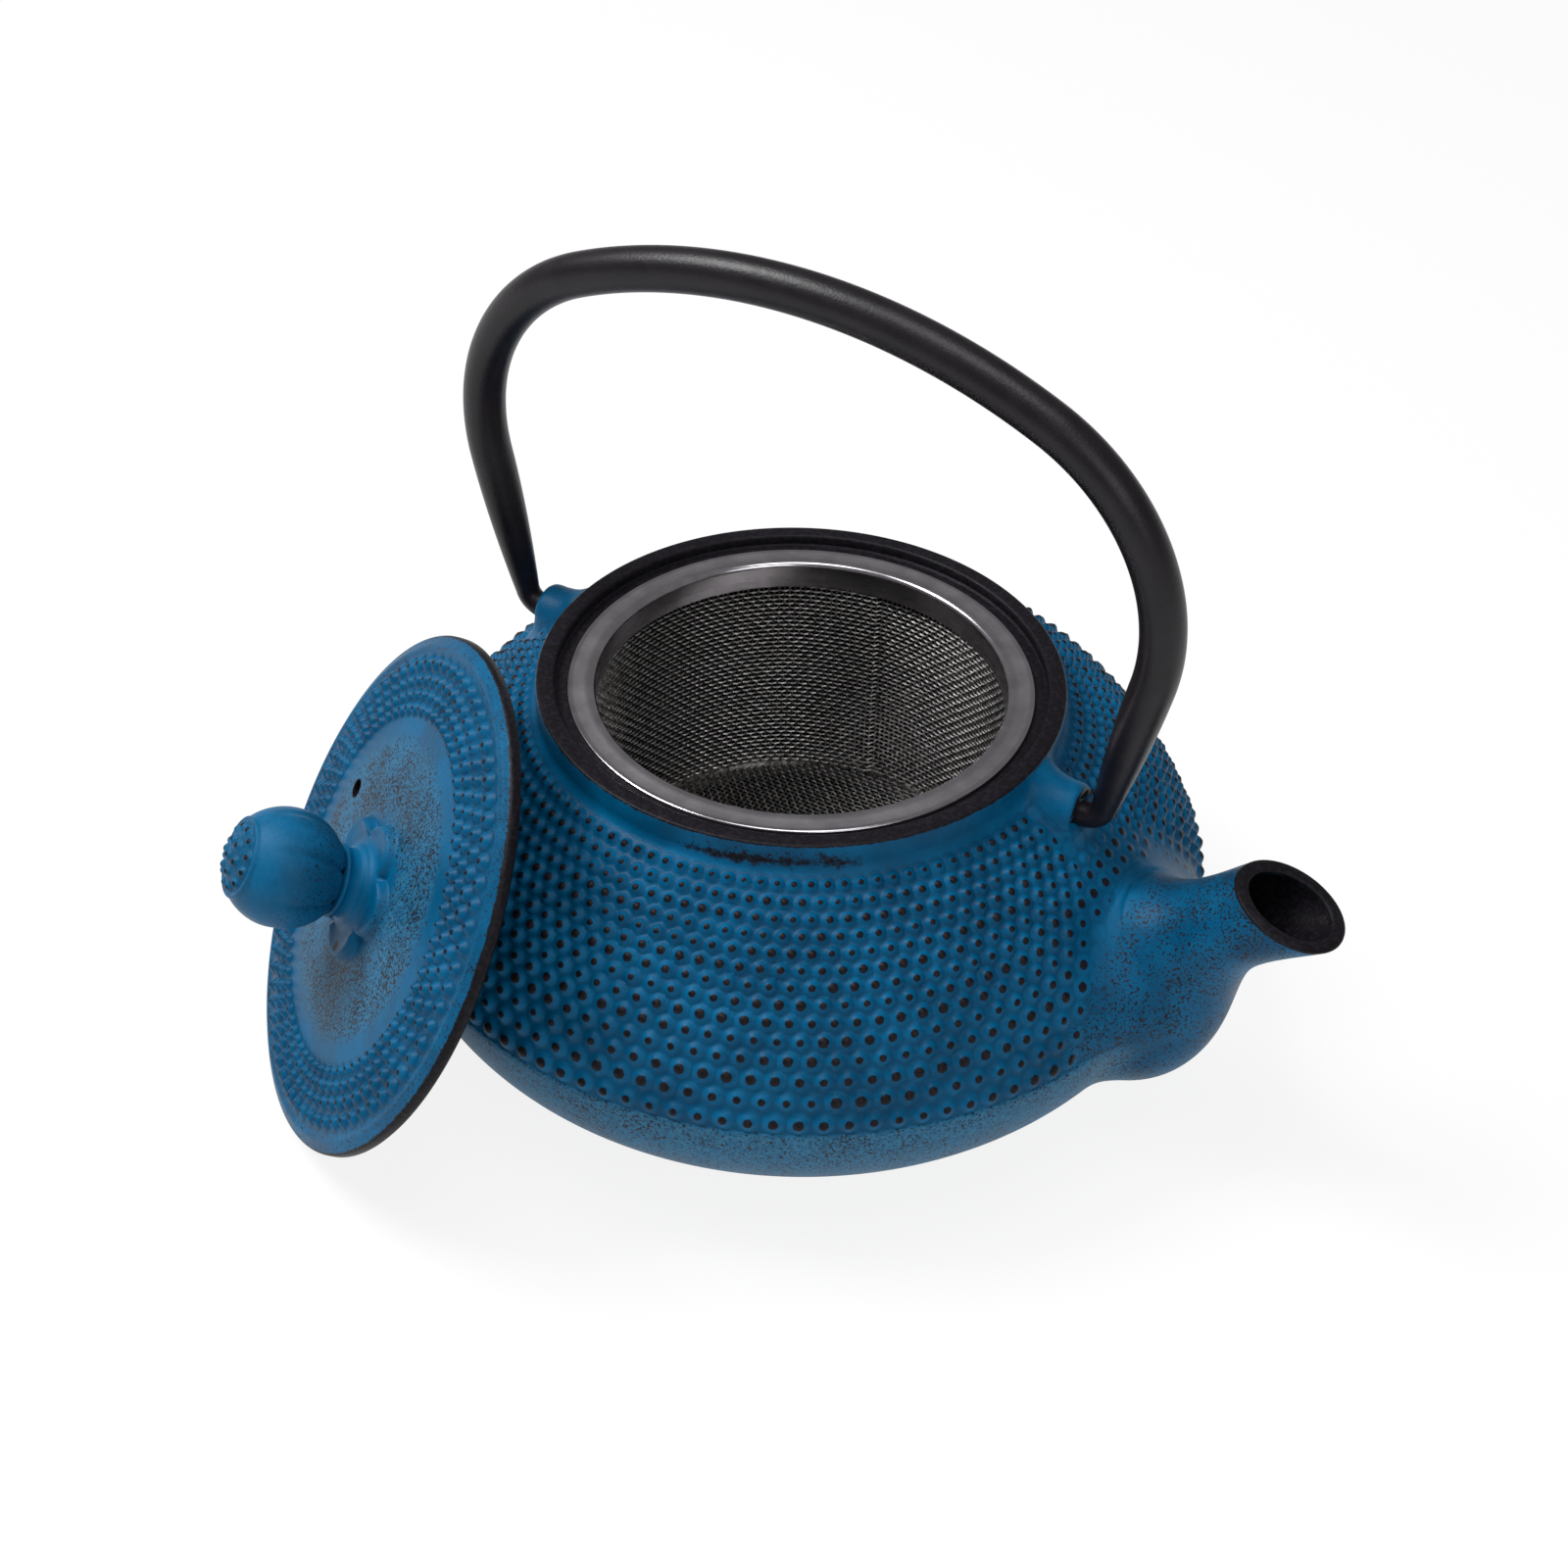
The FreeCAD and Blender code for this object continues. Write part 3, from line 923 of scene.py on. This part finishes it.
def handle_path():
    """Points of half the handle from its pin to the middle of its crown, with the bar's radius."""
    crown_centre = np.array([0.0, pivot_height + handle_rise - crown_round])
    run = handle_half_width - corner_round
    rise = sqrt((crown_round - corner_round) ** 2 - run ** 2)
    corner_centre = crown_centre + np.array([run, rise])
    crown_angle = degrees(atan2(rise, run))
    hook_start = lug_face + hook_gap
    hook_centre = np.array([hook_start, pivot_height + hook_round])
    span = hook_centre - corner_centre
    leg_angle = degrees(atan2(span[1], span[0]))
    leg_angle += degrees(acos((corner_round - hook_round) / np.linalg.norm(span)))
    pin = np.linspace(lug_face - pin_length, hook_start, 6)
    hook = arc_points(*hook_centre, hook_round, -90, leg_angle, 14)
    corner = arc_points(*corner_centre, corner_round, leg_angle, crown_angle, 60)
    crown = arc_points(*crown_centre, crown_round, crown_angle, 90, 60)
    points = [(x, pivot_height, pin_radius) for x in pin]
    points += [(x, z, pin_radius) for x, z in hook[1:]]
    for share in np.linspace(0, 1, 50)[1:-1]:
        x, z = np.array(hook[-1]) * (1 - share) + np.array(corner[0]) * share
        swell = sin(share * pi / 2) ** 0.9
        points.append((x, z, pin_radius + (handle_radius - pin_radius) * swell))
    return points + [(x, z, handle_radius) for x, z in corner + crown[1:]]


def handle():
    half = handle_path()
    path = np.array(half + [(-x, z, size) for x, z, size in reversed(half[:-1])])
    heading = np.gradient(path[:, :2], axis=0)
    heading /= np.linalg.norm(heading, axis=1)[:, None]
    angles = TURN * np.arange(handle_columns) / handle_columns
    lean = radians(handle_lean)
    rings = []
    for (x, z, size), (run, rise) in zip(path, heading):
        across, out = size * np.cos(angles), -size * np.sin(angles)
        height = z - run * out - pivot_height
        rings.append(np.stack([x + rise * out, across * cos(lean) - height * sin(lean),
                               pivot_height + height * cos(lean) + across * sin(lean)], 1))
    return tube("bail_bar", rings)


# Infuser


def rim_profile():
    """Radius and height about the flange with its rolled edge and lip, and the collar under it."""
    under, flat = flange_top - sheet, flange_top - flange_dip
    lip_centre = (infuser_mouth + infuser_lip, flange_top - infuser_lip)
    edge_centre = (flange_radius - flange_edge, flange_top - flange_edge)
    profile = [(flange_radius - 0.6, under)] + arc_points(*edge_centre, flange_edge, -60, 100, 9)
    profile += [(flange_radius - 0.75, flange_top - 0.08), (flange_radius - 1.1, flat)]
    profile += [(infuser_mouth + 2.0, flat), (infuser_mouth + 1.5, flange_top - 0.06)]
    profile += arc_points(*lip_centre, infuser_lip, 80, 180, 10)
    profile += [(infuser_mouth, collar_low), (infuser_mouth + sheet, collar_low)]
    return profile + [(infuser_mouth + sheet, under - 0.3), (infuser_mouth + sheet + 0.3, under)]


def infuser_rim():
    piece = revolved("infuser_rim_pressed", counted(rim_profile(), infuser_columns), closed=True)
    x, y, z = places_of(piece.data).T
    radius = np.hypot(x, y)
    polish = np.maximum(smooth_step(flange_radius - 1.0, flange_radius - 0.7, radius),
                        smooth_step(infuser_mouth + 1.7, infuser_mouth + 1.3, radius))
    put_value(piece.data, "polish", polish * smooth_step(collar_low + 1.5, collar_low + 3, z))
    return piece


def wire_tubes(name, lines, closed):
    """Four sided wires along lines of points, each with its side direction."""
    places, faces, first = [], [], 0
    for points, side in lines:
        if closed:
            heading = np.roll(points, -1, 0) - np.roll(points, 1, 0)
        else:
            heading = np.gradient(points, axis=0)
        heading /= np.linalg.norm(heading, axis=1)[:, None]
        other = np.cross(heading, side)
        rings = np.stack([points + wire_radius * side, points + wire_radius * other,
                          points - wire_radius * side, points - wire_radius * other], 1)
        count = len(points)
        numbers = (first + np.arange(count * 4)).reshape(count, 4).tolist()
        for lower, upper in zip(numbers, numbers[1:] + (numbers[:1] if closed else [])):
            faces += strip(lower, upper)
        if not closed:
            faces += [tuple(reversed(numbers[0])), tuple(numbers[-1])]
        places.append(rings.reshape(-1, 3))
        first += count * 4
    return mesh_piece(name, np.concatenate(places), faces)


def over_under(count, row):
    """Offsets of a woven wire at half pitches, opposite in the next row."""
    return weave * np.sin(pi * np.arange(count) / 2 + pi * row)


def lap(turn):
    """How far the cloth's lapped end stands in from the wall."""
    off = (np.degrees(turn) - seam_turn) % 360
    return lap_depth * np.where(off < lap_width, smooth_step(lap_width, lap_width * 0.3, off), 0.0)


def wall_upright_wires():
    heights = np.linspace(wall_low, wall_high, 2 * wall_courses + 1)
    lines = []
    for i in range(wall_uprights):
        turn = TURN * (i + 0.5) / wall_uprights
        radius = wall_radius - lap(turn) + over_under(len(heights), i)
        out = np.array([cos(turn), sin(turn), 0.0])
        points = radius[:, None] * out
        points[:, 2] = heights
        lines.append((points, np.array([-sin(turn), cos(turn), 0.0])))
    return wire_tubes("infuser_wall_uprights", lines, False)


def wall_hoop_wires():
    count = 2 * wall_uprights
    turn = TURN * np.arange(count) / count
    step = (wall_high - wall_low) / wall_courses
    side = np.array([0.0, 0.0, 1.0])
    lines = []
    for i in range(wall_courses):
        radius = wall_radius - lap(turn) - over_under(count, i)
        height = np.full(count, wall_low + step * (i + 0.5))
        lines.append((np.stack([radius * np.cos(turn), radius * np.sin(turn), height], 1), side))
    return wire_tubes("infuser_wall_hoops", lines, True)


def floor_wires():
    """Wires along X, then along Y, cut off at the floor's round edge."""
    lines = []
    count = int(floor_radius / floor_pitch)
    for way, side in enumerate(([0.0, 1.0, 0.0], [1.0, 0.0, 0.0])):
        for i in range(-count, count + 1):
            place = i * floor_pitch
            half = sqrt(max(floor_radius ** 2 - place ** 2, 1.0))
            reach = int(half / floor_pitch * 2)
            along = np.arange(-reach, reach + 1)
            height = floor_level + weave * np.cos(pi * along / 2 + pi * (i + way))
            flat = [along * floor_pitch / 2, np.full(len(along), place)]
            points = np.stack((flat if way == 0 else flat[::-1]) + [height], 1)
            lines.append((points, np.array(side)))
    return wire_tubes("infuser_floor_wires", lines, False)


# Materials


class Shader:
    """A material's nodes, made one call at a time."""

    def __init__(self, name):
        self.material = bpy.data.materials.new(name)
        self.material.use_nodes = True
        self.tree = self.material.node_tree
        self.surface = self.tree.nodes["Principled BSDF"]
        self.coordinates = self.add("ShaderNodeTexCoord").outputs["Object"]

    def add(self, kind, sockets=None, **settings):
        node = self.tree.nodes.new(kind)
        for name, value in settings.items():
            setattr(node, name, value)
        for name, value in (sockets or {}).items():
            self.set(node.inputs[name], value)
        return node

    def set(self, socket, value):
        if isinstance(value, bpy.types.NodeSocket):
            self.tree.links.new(value, socket)
        else:
            socket.default_value = value

    def put(self, name, value):
        self.set(self.surface.inputs[name], value)

    def value(self, name):
        return self.add("ShaderNodeAttribute", attribute_name=name).outputs["Fac"]

    def math(self, operation, *values):
        node = self.add("ShaderNodeMath", operation=operation)
        for socket, value in zip(node.inputs, values):
            self.set(socket, value)
        return node.outputs[0]

    def noise(self, size, detail=3.0, rough=0.55):
        """Noise whose features are about size millimetres across."""
        sockets = {"Vector": self.coordinates, "Scale": 1 / (size * MM)}
        sockets |= {"Detail": detail, "Roughness": rough}
        return self.add("ShaderNodeTexNoise", sockets).outputs["Fac"]

    def ramp(self, value, low, high):
        """From 0 at low to 1 at high, smoothly."""
        sockets = {"Value": value, "From Min": low, "From Max": high}
        node = self.add("ShaderNodeMapRange", sockets, interpolation_type="SMOOTHSTEP")
        return node.outputs["Result"]

    def mixed(self, kind, share, first, second):
        sockets = {"Factor": share, "A": first, "B": second}
        return self.add("ShaderNodeMix", sockets, data_type=kind).outputs["Result"]

    def mix(self, share, first, second):
        """Between two colours."""
        return self.mixed("RGBA", share, first, second)

    def blend(self, share, first, second):
        """Between two numbers."""
        return self.mixed("FLOAT", share, first, second)

    def between(self, value, low, high, colours):
        """The first colour where value is low and the second where it is high."""
        return self.mix(self.ramp(value, low, high), srgb(*colours[0]), srgb(*colours[1]))

    def bump(self, height, depth):
        """Bump by height from 0 to 1 over depth millimetres."""
        sockets = {"Strength": 1.0, "Distance": depth * MM, "Height": height}
        self.put("Normal", self.add("ShaderNodeBump", sockets).outputs["Normal"])


def pale_wear_and_reflection_share(s):
    """How much of the wash is pale: worn, and on the undersides a painted reflection of the floor."""
    return s.math("MULTIPLY", s.value("pale"), s.ramp(s.noise(0.8, 5.0, 0.7), 0.3, 0.62))


def fleck_share(s):
    """Dark flecks, denser where the speck value is high."""
    speck = s.value("speck")
    density = s.blend(s.ramp(s.noise(7.0), 0.3, 0.7), 0.03, 0.085)
    spread = s.math("MULTIPLY", speck, density)
    flecks = s.ramp(s.math("ADD", spread, s.noise(0.42, 3.0, 0.6)), 0.59, 0.66)
    return s.math("MULTIPLY", flecks, s.ramp(speck, 0.02, 0.3))


def dark_share(s, grain, nail):
    """Black iron on the hobnails' tops and where the wash is chipped off edges."""
    ragged = s.math("MULTIPLY_ADD", grain, 0.22, -0.11)
    top = s.ramp(s.math("ADD", nail, ragged), 0.47, 0.37)
    coarse = s.math("MULTIPLY", s.noise(1.8, 4.0, 0.7), 0.6)
    chips = s.math("ADD", s.math("MULTIPLY", grain, 0.5), coarse)
    iron = s.ramp(s.math("ADD", s.value("bare"), chips), 0.42, 0.6)
    return s.math("MAXIMUM", top, iron)


def enamel():
    """Blue wash over black iron: black hobnail tops, painted shade in the valleys between the
    hobnails, pale speckled wear with a painted reflection of the floor on the undersides, bare black
    edges.
    """
    s = Shader("blue_enamel_wash")
    grain, drift, nail = s.noise(0.5, 4.0, 0.65), s.noise(9.0), s.value("nail")
    pale_wear_and_reflection, dark = pale_wear_and_reflection_share(s), dark_share(s, grain, nail)
    blue = s.between(drift, 0.35, 0.65, wash_colours)
    # Painted shade: the wash is darkened in the valleys between the hobnails
    painted_valley_shade = s.math("MULTIPLY", s.ramp(nail, 0.75, 1.15), s.ramp(nail, 1.58, 1.3))
    blue = s.mix(s.math("MULTIPLY", painted_valley_shade, 0.45), blue, srgb(*painted_valley_shade_colour))
    blue = s.mix(pale_wear_and_reflection, blue, srgb(*pale_colour))
    blue = s.mix(fleck_share(s), blue, s.between(s.noise(1.5), 0.45, 0.6, fleck_colours))
    iron = s.between(s.noise(0.7), 0.4, 0.7, iron_colours)
    s.put("Base Color", s.mix(dark, blue, iron))
    rough = s.blend(dark, s.blend(s.ramp(drift, 0.3, 0.7), 0.36, 0.46), 0.42)
    s.put("Roughness", s.blend(pale_wear_and_reflection, rough, 0.55))
    s.put("Specular IOR Level", 0.12)
    uneven = s.math("MULTIPLY", s.noise(1.6, 2.0), 0.4)
    s.bump(s.math("ADD", s.math("MULTIPLY", grain, 0.6), uneven), 0.12)
    return s.material


def black_coat():
    """Satin black coat with a fine grain, on the handle and the rivet."""
    s = Shader("black_coat")
    grain = s.noise(0.45, 3.0, 0.6)
    s.put("Base Color", s.between(s.noise(6.0), 0.35, 0.65, coat_colours))
    s.put("Roughness", s.blend(grain, 0.3, 0.42))
    s.put("Specular IOR Level", 0.3)
    s.bump(grain, 0.05)
    return s.material


def satin_steel():
    """Pressed steel, satin and slightly uneven on the flat and polished at its edges."""
    s = Shader("satin_steel")
    s.put("Metallic", 1.0)
    s.put("Base Color", s.between(s.noise(4.0), 0.3, 0.7, steel_colours))
    satin = s.blend(s.noise(2.5, 2.0), 0.3, 0.38)
    s.put("Roughness", s.blend(s.value("polish"), satin, 0.18))
    s.bump(s.noise(3.0, 2.0), 0.01)
    return s.material


def mesh_steel():
    """Drawn wire, with duller and brighter spots."""
    s = Shader("wire_steel")
    s.put("Metallic", 1.0)
    s.put("Base Color", s.between(s.noise(0.7), 0.3, 0.7, wire_colours))
    s.put("Roughness", s.blend(s.noise(1.5), 0.24, 0.36))
    return s.material


def seen_directly(s):
    """1 for rays that the camera sees, also by way of gloss or glass, and 0 for other light."""
    path = s.add("ShaderNodeLightPath")
    seen = path.outputs["Is Camera Ray"]
    for name in ("Is Glossy Ray", "Is Transmission Ray"):
        seen = s.math("MAXIMUM", seen, path.outputs[name])
    return seen


def floor_finish():
    """Pale floor that is seen as nearly white and still takes shadow."""
    s = Shader("pale_floor")
    s.put("Base Color", (0.92, 0.92, 0.92, 1))
    s.put("Roughness", 0.9)
    s.put("Specular IOR Level", 0.1)
    glow = s.add("ShaderNodeEmission", {"Color": (1, 1, 1, 1), "Strength": 1.0})
    mixed = s.add("ShaderNodeMixShader")
    s.set(mixed.inputs[0], s.math("MULTIPLY", seen_directly(s), floor_white))
    s.set(mixed.inputs[1], s.surface.outputs[0])
    s.set(mixed.inputs[2], glow.outputs[0])
    s.set(s.tree.nodes["Material Output"].inputs[0], mixed.outputs[0])
    return s.material


# Stage


def make_floor():
    size = floor_half_size
    corners = [(-size, -size, 0), (size, -size, 0), (size, size, 0), (-size, size, 0)]
    floor = mesh_piece("floor", corners, [(0, 1, 2, 3)])
    floor.data.materials.append(floor_finish())


def add_light(name, place, size, power):
    data = bpy.data.lights.new(name, "AREA")
    data.shape = "DISK"
    data.size = size
    data.energy = power
    light = bpy.data.objects.new(name, data)
    light.location = place
    heading = Vector(light_target) - Vector(place)
    light.rotation_euler = heading.to_track_quat("-Z", "Y").to_euler()
    bpy.context.scene.collection.objects.link(light)


def make_camera():
    heading, dip = radians(camera_heading), radians(camera_dip)
    roll = radians(camera_roll)
    level = Vector((cos(heading), sin(heading), 0))
    forward = level * cos(dip) - Vector((0, 0, sin(dip)))
    right = forward.cross(Vector((0, 0, 1))).normalized()
    up = right.cross(forward)
    turned_right = right * cos(roll) + up * sin(roll)
    turned_up = up * cos(roll) - right * sin(roll)
    data = bpy.data.cameras.new("camera")
    data.sensor_width = 36.0
    data.lens = camera_lens
    data.clip_start = 0.01
    camera = bpy.data.objects.new("camera", data)
    rotation = Matrix((turned_right, turned_up, -forward)).transposed().to_4x4()
    camera.matrix_world = Matrix.Translation(camera_place) @ rotation
    bpy.context.scene.collection.objects.link(camera)
    bpy.context.scene.camera = camera


def make_world():
    world = bpy.data.worlds.new("studio")
    world.use_nodes = True
    background = world.node_tree.nodes["Background"]
    background.inputs["Color"].default_value = (1, 1, 1, 1)
    background.inputs["Strength"].default_value = world_strength
    bpy.context.scene.world = world


def dress(piece, body, node, material, sharp_angle=40.0):
    """Gives a piece its material, hangs it on its body and hides the CAD node that it takes the place
    of.
    """
    piece.data.materials.append(material)
    piece.data.shade_smooth()
    piece.data.set_sharp_from_angle(angle=radians(sharp_angle))
    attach(piece, body)
    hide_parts(node)


def finish_node(node, material):
    """Gives a CAD node that stays as it is its material."""
    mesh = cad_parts[node].data
    mesh.materials.clear()
    mesh.materials.append(material)


bpy.context.scene.view_settings.view_transform = "Standard"
make_floor()
make_world()
make_camera()
for light in lights:
    add_light(*light)

wash, coat, steel, wire = enamel(), black_coat(), satin_steel(), mesh_steel()
pot, pot_skins = pot_body()
paint_pot(pot, pot_skins)
dress(pot, "pot", "pot_body", wash)
dress(lid_plate(), "lid", "lid_plate", wash, 50.0)
dress(lid_knob(), "lid", "lid_knob", wash, 60.0)
dress(handle(), "bail", "bail_handle", coat)
dress(wall_upright_wires(), "infuser", "infuser_mesh_wall", wire, 80.0)
dress(wall_hoop_wires(), "infuser", "infuser_mesh_wall", wire, 80.0)
dress(floor_wires(), "infuser", "infuser_mesh_floor", wire, 80.0)
dress(infuser_rim(), "infuser", "infuser_rim", steel, 50.0)
finish_node("infuser_base_ring", wire)
finish_node("knob_rivet", coat)
